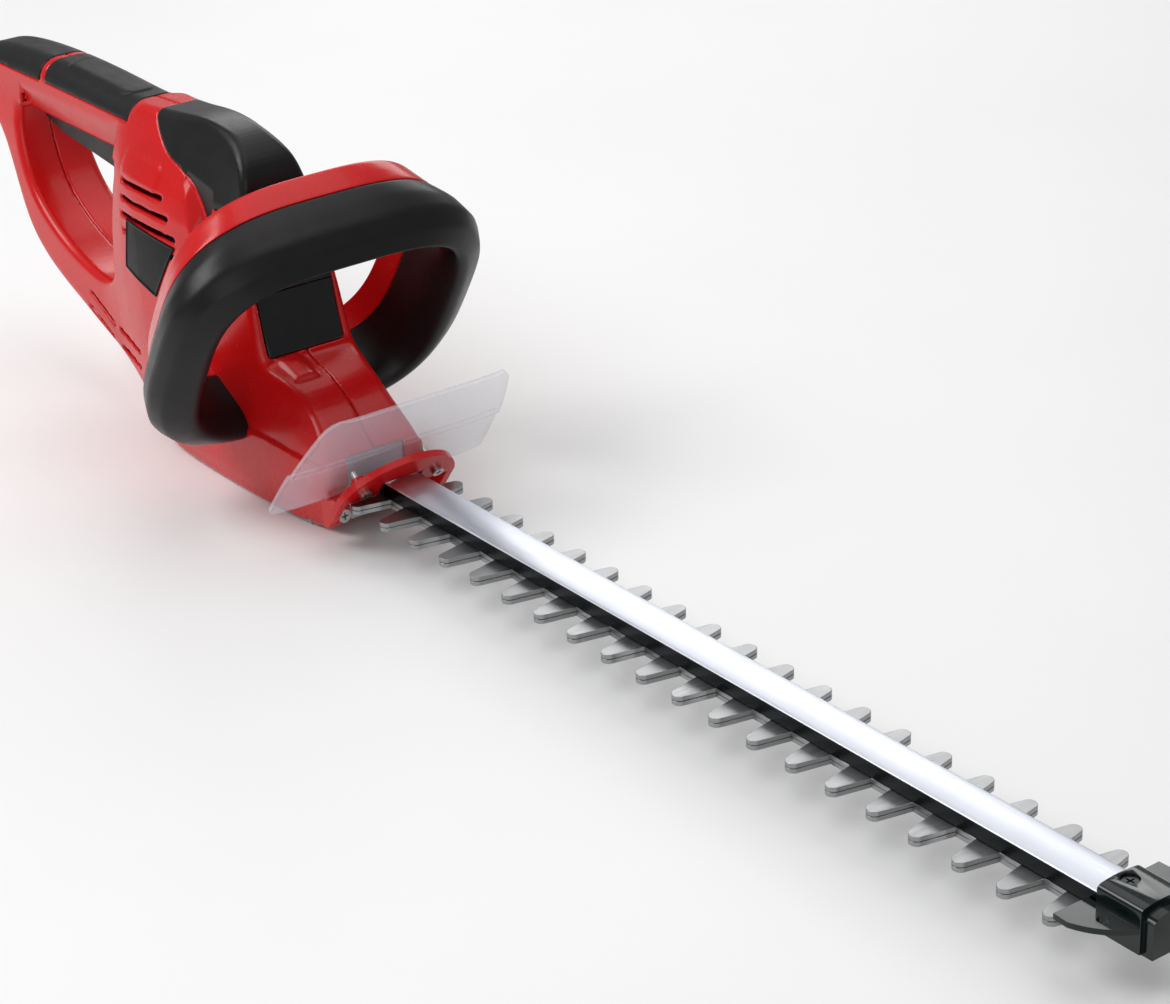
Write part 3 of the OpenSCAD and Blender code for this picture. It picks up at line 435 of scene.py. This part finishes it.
# Half width of the body at x and z: the table smoothed both ways by a B-spline.
def bodyWidth(x, z):
    rows, columns = halfWidths.shape
    u = np.interp(x, widthAtX, np.arange(rows))
    v = np.interp(z, widthAtZ, np.arange(columns))
    i, j = np.minimum(u.astype(int), rows - 2), np.minimum(v.astype(int), columns - 2)
    wu, wv = splineWeights(u - i), splineWeights(v - j)
    return sum(wu[a] * wv[b] * halfWidths[np.clip(i + a - 1, 0, rows - 1), np.clip(j + b - 1, 0, columns - 1)]
               for a in range(4) for b in range(4))


# Signed distance to a slot with round ends from a to b, negative inside.
def slotAt(x, z, a, b, half):
    ex, ez = b[0] - a[0], b[1] - a[1]
    t = np.clip(((x - a[0]) * ex + (z - a[1]) * ez) / (ex * ex + ez * ez), 0, 1)
    return np.hypot(x - a[0] - t * ex, z - a[1] - t * ez) - half


# Signed distance to a leaning rectangle with rounded corners, negative inside.
def blockAt(x, z, centre, half, lean, r):
    dx, dz = x - centre[0], z - centre[1]
    u, v = dx * math.cos(lean) + dz * math.sin(lean), dz * math.cos(lean) - dx * math.sin(lean)
    return roundMax(abs(u) - half[0], abs(v) - half[1], r)


sideVents = [((-103, 148.5), (-63, 148.5)), ((-104, 139), (-56, 139)), ((-105, 129.5), (-49, 129.5)),
             ((-104, 120), (-44, 120))]
lowVents = [((-164, 64), (-138, 53)), ((-167, 54.5), (-142, 44.5)), ((-130, 52.5), (-103, 48.5)),
            ((-130, 42), (-106, 38))]
# lattice on the side plane that holds every table: first x and z, and its step
lattice = (-312, -8, 0.5)
sideX = lattice[0] + lattice[2] * np.arange(820)[:, None]
sideZ = lattice[1] + lattice[2] * np.arange(430)[None, :]
holeMap = -outlineDistance(sideX, sideZ, loopOutline)
sideMap = outlineDistance(sideX, sideZ, sideOutline)
beltZ = 44 - 2.5 * ease(sideX, 30, 84) - 18 * ease(-sideX, 84, 112)
flank = bodyWidth(sideX, sideZ)
humpLine = np.interp(sideX, [-100, -72, -53, -43, -34, -24, -12, 0, 12, 24, 40],
                     [190, 172, 167, 160.5, 148, 125, 101, 88, 82, 79, 60])
shoulder = 22.0 + 0.8 * np.maximum(humpLine - sideZ, 0) + 40 * ease(-sideX, 46, 66) + 40 * ease(sideX, -22, -6)
flank = np.minimum(flank, shoulder)
flank = flank + housingSize["beltStep"] * ease(-(sideZ - beltZ), -0.5, 0.7) * ease(sideX, -104, -90)
# raised block in front of the loop, with the vents below it
flank = flank + 1.1 * ease(-blockAt(sideX, sideZ, (-86, 158), (20, 8), -0.04, 5), -0.6, 3.2)
ventMap = np.full(sideMap.shape, 1e3)
for a, b in sideVents:
    ventMap = np.minimum(ventMap, slotAt(sideX, sideZ, a, b, 1.5))
for a, b in lowVents:
    ventMap = np.minimum(ventMap, slotAt(sideX, sideZ, a, b, 1.2))
# edge radius: generous on the grips, smaller round the body
edgeMap = (3.5 + 9 * ease(sideZ, 166, 176) * ease(-sideX, 104, 118)
           + 3.5 * ease(-sideX, 112, 140) * ease(-sideZ, -160, -150))
slopeX, slopeZ = np.gradient(flank, lattice[2])
steepMap = np.minimum(np.sqrt(1 + slopeX ** 2 + slopeZ ** 2), 3)
for smoothing in range(4):
    steepMap[1:-1, 1:-1] = (steepMap[:-2, 1:-1] + steepMap[2:, 1:-1] + steepMap[1:-1, :-2] + steepMap[1:-1, 2:]
                            + 2 * steepMap[1:-1, 1:-1]) / 6
steepAt = Plate(*lattice, steepMap)
sideAt = Plate(*lattice, sideMap)
holeAt = Plate(*lattice, holeMap)
flankAt = Plate(*lattice, flank)
ventAt = Plate(*lattice, ventMap)
edgeAt = Plate(*lattice, edgeMap)


# Body skin: inside the side outline and inside the half width, with a rounded edge between.
def skinField(x, y, z, tabbed=True):
    f = roundMax(sideAt(x, z), (abs(y) - flankAt(x, z)) / steepAt(x, z), edgeAt(x, z))
    # round tab in front of the near half of the front panel: a sunk cylinder with a flat end
    along, over = (x - 22) * 0.95 - (z - 79) * 0.31, (x - 22) * 0.31 + (z - 79) * 0.95
    tab = roundMax(np.hypot(y + 13, over + 4.6) - 10.6, abs(along - 12.5) - 10, 1.5)
    f = -roundMax(-f, -tab, 1.0) if tabbed else f
    # broad chamfer below the upper handle, a plane that leans in towards the trigger
    under = (abs(y) - 12) * 0.936 - (z - 151 - 0.02 * (x + 240)) * 0.351
    onlyHandle = 60 * (ease(x, -126, -119) + ease(-x, 238, 244) + ease(-z, -148, -143))
    f = roundMax(f, under - onlyHandle, 0.8)
    # the loop's edge is a flat chamfer with small rounds
    hole = holeAt(x, z)
    f = roundMax(f, (hole + abs(y) - flankAt(x, z)) * 0.7071 + 1.9, 1.2)
    return roundMax(f, hole, 1.2)


# Zone of the hump cover and its front: above a line seen from the side, inside a round-ended strip from above.
coverLine = smoothLoop([(-90, 230), (-90, 192), (-86, 183), (-78, 177), (-68, 170.5), (-58, 168),
                        (-49, 165.5), (-40, 160.5), (-34, 154), (-29, 144), (-22, 125), (-12, 100),
                        (0, 88), (8, 84), (24, 82), (42, 81.5), (60, 81.5), (60, 230)], 3)
coverMap = outlineDistance(sideX, sideZ, coverLine)
coverAt = Plate(*lattice, coverMap)


# Zone under the hump cover and the front panel.
def coverField(x, y, z):
    strip = np.where(x < -69, np.hypot(x + 69, y), abs(y)) - 24.5 + 1.5 * ease(x, -30, -5)
    return roundMax(coverAt(x, z), strip, 2.0)


def capField(x, y, z):  # rear grip cap
    return roundMax(x + 213.5, 175.2 - z + 0.02 * (x + 213), 1.2)


def padField(x, y, z):  # second grip
    return roundMax(roundMax(-207.5 - x, x + 114, 1.2), 175.8 - z, 1.2)


def panelSplit(x, z):  # parts hump cover from front panel
    return (z - 112) * 0.97 - (x - 5) * 0.22


# One housing half: the skin less a wall's thickness, with the cover zones and openings taken out.
def housingField(x, y, z, side):
    size = housingSize
    f = skinField(x, y, z)
    wall = size["wall"] + 5 * ease(z, 146, 154) * ease(x, -104, -96) * ease(-x, -6, 2)
    f = np.maximum(f, -(f + wall))
    for zone in (coverField, capField, padField):
        f = roundMax(f, size["seamGap"] - zone(x, y, z), 0.35)
    f = np.maximum(f, -np.maximum(ventAt(x, z), 22 - abs(y)))  # open vents
    slot = np.maximum(np.maximum(abs(y) - size["triggerSlotHalf"], abs(z - 158) - 14), abs(x + 181.5) - 54.8)
    f = np.maximum(f, -slot)  # trigger slot
    f = np.maximum(f, -np.maximum(np.maximum(abs(y) - size["baseHalf"], z - 8), np.abs(x + 2.2) - 60.4))  # open base
    f = np.maximum(f, -(np.hypot(y, z - 158) - size["inletRadius"] + 50 * ease(x, -276, -272)))  # cable inlet
    f = np.maximum(f, -np.maximum(np.maximum(abs(y) - size["noseHalf"], z - 45), 70 - x))  # nose opening
    return roundMax(f, 0.04 - side * y, 0.3)


for name, side in (("housing_left", -1), ("housing_right", 1)):
    low = (-306, -40 if side < 0 else -1.5, -3)
    high = (88, 1.5 if side < 0 else 40, 196)
    shell = surfaceOf(lambda x, y, z: housingField(x, y, z, side), low, high, housingSize["cell"])
    ends = name.replace("housing", "")
    stretches = [name] + [n for n in ("rear_handle" + ends, "rear_strut" + ends) if n in nodes]
    piece = putMesh(name + "_shell", *shell, looks["red_plastic"], stands=stretches, slot="red_plastic")
    print(name, "shell:", len(shell[1]) * 2, "triangles")


# Pieces cut from the same skin: hump cover, front panel and the two rear grips.
def cutField(zone, proud, thick, extra=None):
    def field(x, y, z):
        f = skinField(x, y, z, False) - proud
        f = np.maximum(f, -(f + thick))
        f = roundMax(f, zone(x, y, z), 0.5)
        return f if extra is None else np.maximum(f, extra(x, y, z))
    return field


hump = surfaceOf(cutField(coverField, 0.15, 2.6, lambda x, y, z: 0.12 - panelSplit(x, z)),
                 (-95, -28, 104), (20, 28, 196), 0.9)
putMesh("hump_cover", *hump, looks["black_plastic"], stands=("top_cover",), slot="black_plastic")
panel = surfaceOf(cutField(coverField, 0.05, 2.4, lambda x, y, z: 0.12 + panelSplit(x, z)),
                  (-24, -28, 74), (40, 28, 118), 0.8)
putMesh("front_gloss_panel", *panel, looks["gloss_black"], stands=("front_panel",), slot="gloss_black")
cap = surfaceOf(cutField(capField, 0.25, 4.5), (-306, -21, 172), (-212, 21, 192), 1.0)
putMesh("rear_grip_cap_skin", *cap, looks["soft_black"], stands=("rear_grip_cap",), slot="soft_black")


def padSkin(x, y, z):
    f = skinField(x, y, z) - 0.25
    inset = roundMax(abs(x + 160) - 34, abs(y) - 10.5, 8)  # raised inset panel
    f = f - 0.7 * ease(-inset, 0, 1.6) + 0.5 * ease(1.6 - abs(inset - 0.8), 0, 1.2)
    f = np.maximum(f, -(f + 4.5))
    return roundMax(f, padField(x, y, z), 0.5)


pad = surfaceOf(padSkin, (-210, -21, 172), (-112, 21, 192), 0.9)
putMesh("rear_grip_pad_skin", *pad, looks["soft_black"], stands=("rear_grip_pad",), slot="soft_black")
print("covers and grips:", len(hump[1]) * 2, len(panel[1]) * 2, len(cap[1]) * 2, len(pad[1]) * 2, "triangles")

# what may be changed on the front handle
ringSize = {"x": 48.3, "z": 96, "lean": 31, "pathSteps": 220, "from": -62, "to": 242}
ringUp = np.array([math.sin(math.radians(ringSize["lean"])), 0, math.cos(math.radians(ringSize["lean"]))])
ringOut = np.array([ringUp[2], 0, -ringUp[0]])
depthAt = [-52, -44, -36, -26, -15, -6, 0, 2]
outerHalf = [75, 79, 84, 91, 95, 93, 86, 84]
outerTop = [71.5, 71.5, 71, 70.5, 69, 65, 60, 59]
outerLow = [74, 76, 78, 80, 81, 79, 74, 73]
innerHalf = [64, 65, 66, 67, 67.6, 68, 68, 68]
innerTop = [58, 58, 57.5, 57, 56.5, 56, 55.5, 55.5]
innerLow = [60, 60, 59, 59, 58.5, 58, 58, 58]


# Radius of a rounded rectangle seen from its middle: (|cos/half|^p + |sin/height|^p)^(-1/p).
def roundedRadius(angle, half, top, low, power):
    height = np.where(np.sin(angle) > 0, top, low)
    return (np.abs(np.cos(angle) / half) ** power + np.abs(np.sin(angle) / height) ** power) ** (-1 / power)


# The ring: a closed profile of (e, n), carried round a path of angles. e runs from the inner edge
# to the outer edge and n is the depth behind the front face.
def ringShape(profile):
    profile = np.asarray(profile, float)
    angle = np.radians(np.linspace(ringSize["from"], ringSize["to"], ringSize["pathSteps"]))[:, None]
    e, n = profile[None, :, 0], profile[None, :, 1]
    read = lambda table: np.interp(n, depthAt, table)
    inner = roundedRadius(angle, read(innerHalf), read(innerTop), read(innerLow), 3.7)
    outer = roundedRadius(angle, read(outerHalf), read(outerTop), read(outerLow), 3.1)
    radius = inner + (outer - inner) * e
    along = radius * np.cos(angle)
    up = radius * np.sin(angle)
    grid = (np.array([ringSize["x"], 0, ringSize["z"]]) + up[..., None] * ringUp + n[..., None] * ringOut
            + along[..., None] * np.array([0, 1, 0]))
    return tube(grid, flip=True)


gripProfile = smoothLoop([(0.0, -35.7), (0.5, -35.7), (0.95, -35.7), (0.98, -35.4), (1.0, -33), (1.03, -26),
                          (1.02, -15), (0.97, -7), (0.88, -1.8), (0.74, 0.5), (0.6, 1.0), (0.45, 0.9),
                          (0.32, 0.2), (0.2, -1.6), (0.1, -4.5), (0.03, -9), (0.0, -15), (0.0, -26),
                          (0.0, -34), (0.0, -35.4)], 4)
frameProfile = smoothLoop([(0.02, -51.6), (0.5, -51.8), (0.9, -51.6), (0.97, -50.6), (0.985, -48), (0.985, -42),
                           (0.985, -37.5), (0.97, -36.3), (0.94, -36.1), (0.5, -36.1), (0.06, -36.1),
                           (0.03, -36.3), (0.02, -37.5), (0.02, -44), (0.02, -50.6)], 4)
putMesh("front_grip_ring", *ringShape(gripProfile), looks["black_plastic"], stands=("front_grip",), slot="soft_black")
putMesh("handle_ring_frame", *ringShape(frameProfile), looks["red_plastic"], stands=("handle_ring",),
        slot="red_plastic")
print("front handle made")

# what may be changed on the guard
guardSize = {"foot": (83.2, 65.4, 27.3), "top": (128.9, 53.9, 89.2), "thick": 2.4, "bulge": 3.2, "fold": 0.44}


# Guard sheet: s runs across, t up the sheet. The half width is a straight taper plus a bulge of sin(pi t),
# the face bends at a fold line, its side edges curl back with s^8 and its corners are quarter ellipses.
def guardSheet():
    s = np.linspace(-1, 1, 97)[None, :]
    t = np.linspace(0, 1, 61)[:, None]
    foot, top = np.array(guardSize["foot"]), np.array(guardSize["top"])
    half = foot[1] + (top[1] - foot[1]) * t + guardSize["bulge"] * np.sin(np.pi * t)
    round1, round2 = np.clip((t - 0.88) / 0.12, 0, 1), np.clip((0.05 - t) / 0.05, 0, 1)
    corner = 1 - np.where(s < 0, 0.13, 0.06) * (1 - np.sqrt(1 - round1 ** 2)) - 0.04 * (1 - np.sqrt(1 - round2 ** 2))
    lean = math.atan2(top[0] - foot[0], top[2] - foot[2])
    push = 1.6 * ease(t, guardSize["fold"] - 0.012, guardSize["fold"] + 0.012) - 1.0 * abs(s) ** 8
    x = foot[0] + (top[0] - foot[0]) * t + push * math.cos(lean)
    z = foot[2] + (top[2] - foot[2]) * t - push * math.sin(lean)
    y = s * half * corner
    return thickSheet(np.stack(np.broadcast_arrays(x, y, z), -1), guardSize["thick"])


putMesh("hand_guard_sheet", *guardSheet(), looks["clear_plastic"], stands=("hand_guard",), slot="clear_plastic")


# what may be changed on the label plate: corners as x and z, its frame
labelSize = {"corners": [(-98, 129), (-47, 126), (-70, 92), (-105, 99)], "frame": 1.3, "proud": 0.75}


# Plate on the flank: a rounded four-sided outline, its rim raised and its middle 0.35 mm lower.
def labelField(x, y, z, side):
    d = labelAt(x, z) + 0 * y
    face = flankAt(x, z) + labelSize["proud"] - 0.4 * ease(-d, labelSize["frame"] - 0.25, labelSize["frame"] + 0.25)
    f = roundMax(d, side * y - face, 0.35)
    return np.maximum(f, flankAt(x, z) - 0.2 - side * y)


labelMap = outlineDistance(sideX, sideZ, np.array(labelSize["corners"], float))
labelAt = Plate(*lattice, labelMap)
plates = [surfaceOf(lambda x, y, z, k=k: labelField(x, y, z, k),
                    (-108, 34.5 * k - 4.5, 89), (-44, 34.5 * k + 4.5, 132), 0.5) for k in (-1, 1)]
putMesh("label_plates", *joined(plates), looks["label_black"], stands=("label_plate",), slot="gloss_black")

# what may be changed on the cover
coverSize = {"from": 99.3, "to": 609.4, "half": 10.4, "side": 29.8, "shoulder": 37.0, "crown": 1.1, "wall": 1.5}


# Cover: a thin channel carried along x. Its outline is (y, z) with a crown of 1 - (y/half)^2.
def coverChannel():
    half, side, shoulder, edge = coverSize["half"], coverSize["side"], coverSize["shoulder"], 0.9
    y = np.linspace(-(half - edge), half - edge, 17)
    roof = np.stack([y, shoulder + coverSize["crown"] * (1 - (y / half) ** 2)], -1)
    turn = np.radians(np.linspace(0, 75, 5))
    edgeZ = shoulder - 0.75 + edge * np.sin(turn)
    roundEdge = lambda s: np.stack([s * (half - edge + edge * np.cos(turn)), edgeZ], -1)
    outside = np.concatenate([[[-half, side]], roundEdge(-1), roof, roundEdge(1)[::-1], [[half, side]]])
    inner = half - coverSize["wall"]
    inside = np.array([[inner, side], [inner, shoulder - 0.9], [0, shoulder - 0.6],
                       [-inner, shoulder - 0.9], [-inner, side]])
    profile = np.concatenate([outside, inside])
    x = np.linspace(coverSize["from"], coverSize["to"], 60)
    grid = np.zeros((len(x), len(profile), 3))
    grid[..., 0] = x[:, None]
    grid[..., 1:] = profile
    rows, columns = grid.shape[:2]
    quads = gridQuads(rows, columns, True)
    ends = []
    k = np.arange(columns // 2)
    for row, flip in ((0, False), (rows - 1, True)):
        a, b = row * columns + k, row * columns + columns - 1 - k
        strip = np.stack([a[:-1], a[1:], b[1:], b[:-1]], -1)
        ends.append(strip[:, ::-1] if flip else strip)
    return grid.reshape(-1, 3), np.concatenate([quads[:, ::-1], *[e[:, ::-1] for e in ends]]), np.zeros((0, 3), int)


cover = putMesh("blade_cover_channel", *coverChannel(), looks["cover_aluminium"], stands=("blade_cover",),
                slot="cover_aluminium")
# Side walls and underside of the cover: a near-black metal whose dark colour is painted reflection, standing in for
# the dark surroundings that the bright aluminium sides mirror.
paintedReflectionSide = metalLook("coverSidePaintedReflection", (0.016, 0.018, 0.02), (0.2, 0.32), (0.04, 1, 1), 900, 0.00003, 0.1)
cover.data.materials.append(paintedReflectionSide)
middle = np.zeros(len(cover.data.polygons) * 3)
cover.data.polygons.foreach_get("center", middle)
facing = np.zeros(len(cover.data.polygons) * 3)
cover.data.polygons.foreach_get("normal", facing)
facing, middle = facing.reshape(-1, 3), middle.reshape(-1, 3)
# Faces that tilt away from up, and all faces below 35.5 mm, take the painted dark reflection as material 1.
cover.data.polygons.foreach_set("material_index", ((facing[:, 2] < 0.3) | (middle[:, 2] < 0.0355)).astype(np.int32))
cover.data.set_sharp_from_angle(angle=math.radians(40))

# The machined parts keep their CAD shape and get softened edges.
bodyOf = {node: name for name, held in frame["record"]["behaviour"]["bodies"].items() for node in held}


# A copy of a CAD node, merged and with its flat faces whole again, whose edges get a small bevel.
def softened(node, width, segments=2, turn=30, smoothTurn=40):
    mesh = nodes[node].data.copy()
    bm = bmesh.new()
    bm.from_mesh(mesh)
    bmesh.ops.remove_doubles(bm, verts=bm.verts, dist=2e-6)
    bmesh.ops.dissolve_limit(bm, angle_limit=math.radians(0.4), verts=bm.verts, edges=bm.edges)
    bm.to_mesh(mesh)
    bm.free()
    piece = bpy.data.objects.new(node + "_finished", mesh)
    bpy.context.scene.collection.objects.link(piece)
    mesh.polygons.foreach_set("use_smooth", np.full(len(mesh.polygons), True))
    mesh.set_sharp_from_angle(angle=math.radians(smoothTurn))
    bevel = piece.modifiers.new("softEdges", "BEVEL")
    bevel.width = width / 1000
    bevel.segments = segments
    bevel.limit_method = "ANGLE"
    bevel.angle_limit = math.radians(turn)
    bevel.miter_outer = "MITER_ARC"
    bevel.harden_normals = False
    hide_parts(node)
    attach(piece, bodyOf.get(node, "machine"))
    return piece


finished = {"guard_bracket": 0.5, "upper_blade": 0.35, "lower_blade": 0.35, "tip_guard": 0.7, "rear_trigger": 0.9,
            "front_switch_bar": 0.8, "cable_gland": 0.5, "blade_bolts": 0.25, "tip_screw": 0.25, "guard_screws": 0.2,
            "bracket_screws": 0.2, "lock_nuts": 0.25}
for node, width in finished.items():
    piece = softened(node, width)
    if node in ("tip_guard", "tip_screw"):
        piece.data.materials[0] = looks["tip_black" if node == "tip_guard" else "dark_screw"]
print("softened parts:", len(finished))

floorPoints = np.array([(-9000, -9000, 0), (9000, -9000, 0), (9000, 9000, 0), (-9000, 9000, 0)], float)
floorMesh = bpy.data.meshes.new("floor")
floorMesh.from_pydata([tuple(p / 1000) for p in floorPoints], [], [(0, 1, 2, 3)])
floor = bpy.data.objects.new("floor", floorMesh)
bpy.context.scene.collection.objects.link(floor)
floorLook, floorTree, floorShader, floorPlace = newLook("paleFloor", 0.6)
floorTone = addRamp(floorTree, addNoise(floorTree, floorPlace, 3, 3),
                    [(0.3, (0.86, 0.86, 0.86)), (0.7, (0.885, 0.885, 0.885))])
floorTree.links.new(floorTone, floorShader.inputs["Base Color"])
floorMesh.materials.append(floorLook)

# what may be changed on the lights: place, size and power
lights = {"keySoftbox": ((-0.5, -1.3, 1.7), (1.5, 1.1), 31), "topSoftbox": ((0.1, 0.5, 2.3), (2.6, 1.6), 15),
          "fillSoftbox": ((1.9, -0.9, 0.9), (1.2, 1.2), 6), "rimSoftbox": ((-1.2, 1.3, 1.1), (1.4, 0.8), 10)}
for name, (at, size, power) in lights.items():
    lamp = bpy.data.lights.new(name, "AREA")
    lamp.shape = "RECTANGLE"
    lamp.size, lamp.size_y = size
    lamp.energy = power
    holder = bpy.data.objects.new(name, lamp)
    holder.location = at
    holder.rotation_mode = "QUATERNION"
    holder.rotation_quaternion = (Vector((0.1, 0, 0.08)) - Vector(at)).to_track_quat("-Z", "Y")
    bpy.context.scene.collection.objects.link(holder)
world = bpy.data.worlds.new("studio")
world.use_nodes = True
world.node_tree.nodes["Background"].inputs["Color"].default_value = (1, 1, 1, 1)
world.node_tree.nodes["Background"].inputs["Strength"].default_value = 0.3
bpy.context.scene.world = world
bpy.context.scene.view_settings.view_transform = "Standard"

# what may be changed on the camera
shot = {"azimuth": 53.683, "elevation": 25.413, "roll": -2.03, "lens": 98.33, "at": (1.35093, -0.79895, 0.72048)}
a, e, roll = (math.radians(shot[k]) for k in ("azimuth", "elevation", "roll"))
back = Vector((math.sin(a) * math.cos(e), -math.cos(a) * math.cos(e), math.sin(e)))
level = (-back).cross(Vector((0, 0, 1))).normalized()
over = level.cross(-back)
right = math.cos(roll) * level + math.sin(roll) * over
up = -math.sin(roll) * level + math.cos(roll) * over
camera = bpy.data.objects.new("camera", bpy.data.cameras.new("camera"))
camera.data.lens = shot["lens"]
camera.data.sensor_width = 36
camera.data.clip_end = 50
turn = Matrix((right, up, back)).transposed().to_4x4()
camera.matrix_world = Matrix.Translation(Vector(shot["at"])) @ turn
bpy.context.scene.collection.objects.link(camera)
bpy.context.scene.camera = camera
